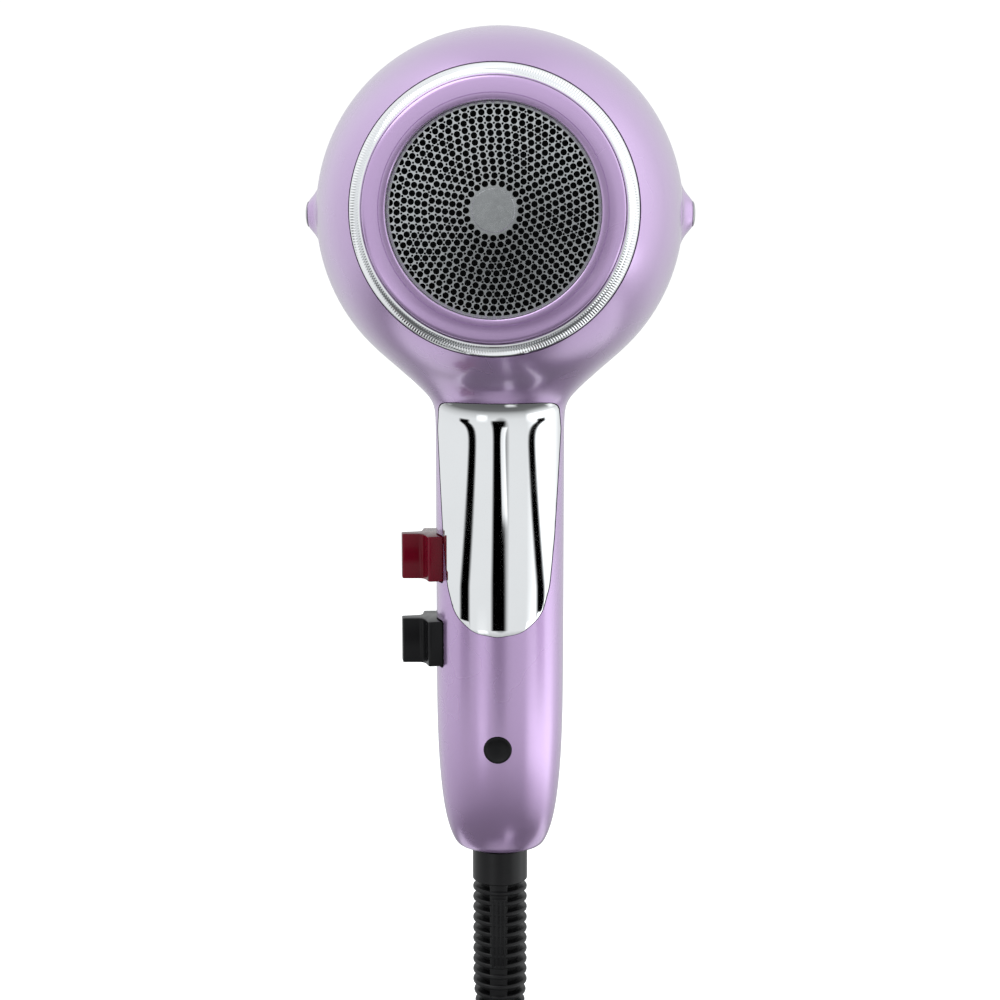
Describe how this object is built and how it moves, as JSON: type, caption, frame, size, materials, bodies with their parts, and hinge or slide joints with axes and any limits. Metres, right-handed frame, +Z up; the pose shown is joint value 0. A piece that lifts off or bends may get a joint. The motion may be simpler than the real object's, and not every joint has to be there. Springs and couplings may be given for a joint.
{
  "type": "hair dryer",
  "caption": "Upright hair dryer with a round head, tapered barrel, rear filter cover with a knurled ring, side rocker switches, ribbed strain relief and a mains lead wound into a coil.",
  "frame": {"origin": "middle of the hand grip, on the handle's axis, 115 mm below the head's axis", "axes": "+Z up along the handle towards the head, +Y the way the air blows out, +X to the right seen from behind the intake grille, with the switches on the -X side"},
  "size_m": [0.1189, 0.1767, 0.369],
  "materials": {
    "housing": "satin metallic lavender lacquer on moulded plastic",
    "chrome_trim": "bright plated plastic",
    "grille": "satin grey perforated sheet",
    "satin_metal": "satin",
    "steel": "plain zinc-plated",
    "black_plastic": "fine moulded texture",
    "switch_black": "smooth moulded",
    "switch_red": "clear red, smooth moulded",
    "rubber": "soft matte",
    "lead": "smooth matte",
    "mica": "flaky mica sheet",
    "heater_wire": "oxidised resistance wire",
    "board": "solder-masked laminate",
    "white_plastic": "plain moulded"
  },
  "bodies": {
    "housing": {"rear_housing": "housing", "front_housing": "housing", "handle_back_plate": "chrome_trim", "screw_plug": "black_plastic", "side_cap_right": "satin_metal", "side_cap_left": "satin_metal", "housing_screw_upper": "steel", "housing_screw_lower": "steel", "air_duct": "black_plastic", "motor_bearing_rear": "steel", "motor_bearing_front": "steel", "motor_can": "steel", "motor_end_plate": "black_plastic", "motor_mount": "black_plastic", "heater_tube": "mica", "mica_plate_upright": "mica", "mica_plate_level": "mica", "heater_coil_1": "heater_wire", "heater_coil_2": "heater_wire", "heater_coil_3": "heater_wire", "heater_coil_4": "heater_wire", "thermostat": "steel", "thermal_fuse": "white_plastic", "ion_needle": "steel", "nozzle_ring": "black_plastic", "outlet_grille": "black_plastic", "red_switch_body": "black_plastic", "black_switch_body": "black_plastic", "circuit_board": "board", "capacitor": "white_plastic", "ion_module": "black_plastic", "wire_harness_lower": "rubber", "wire_harness_upper": "rubber", "cord_clamp": "black_plastic", "clamp_screw_left": "steel", "clamp_screw_right": "steel", "strain_relief": "rubber", "cord_drop": "lead", "cord_coil": "lead", "cord_tail": "lead", "cord_tie": "black_plastic", "plug_body": "rubber", "plug_pin_1": "steel", "plug_pin_2": "steel"},
    "fan": {"fan_impeller": "black_plastic", "fan_nut": "steel", "motor_shaft": "steel", "motor_rotor": "steel"},
    "cover": {"intake_cover": "housing", "intake_grille": "grille", "grille_disc": "grille", "filter_mesh": "steel"},
    "ring": {"knurled_ring": "chrome_trim"},
    "red_switch": {"red_rocker": "switch_red"},
    "black_switch": {"black_rocker": "switch_black"}
  },
  "joints": [
    {"name": "fan_spin", "type": "hinge", "parent": "housing", "child": "fan", "pos_m": [0, 0, 0.115], "axis": [0, 1, 0], "continuous": true},
    {"name": "cover_pull", "type": "slide", "parent": "housing", "child": "cover", "axis": [0, -1, 0], "range_m": [0, 0.03]},
    {"name": "ring_turn", "type": "hinge", "parent": "cover", "child": "ring", "pos_m": [0, -0.042, 0.115], "axis": [0, 1, 0], "range_deg": [0, 25]},
    {"name": "red_tilt", "type": "hinge", "parent": "housing", "child": "red_switch", "pos_m": [-0.015, 0, 0.0226], "axis": [0, 0, 1], "range_deg": [-18, 0]},
    {"name": "black_tilt", "type": "hinge", "parent": "housing", "child": "black_switch", "pos_m": [-0.015, 0, -0.0008], "axis": [0, 0, 1], "range_deg": [-18, 0]}
  ]
}
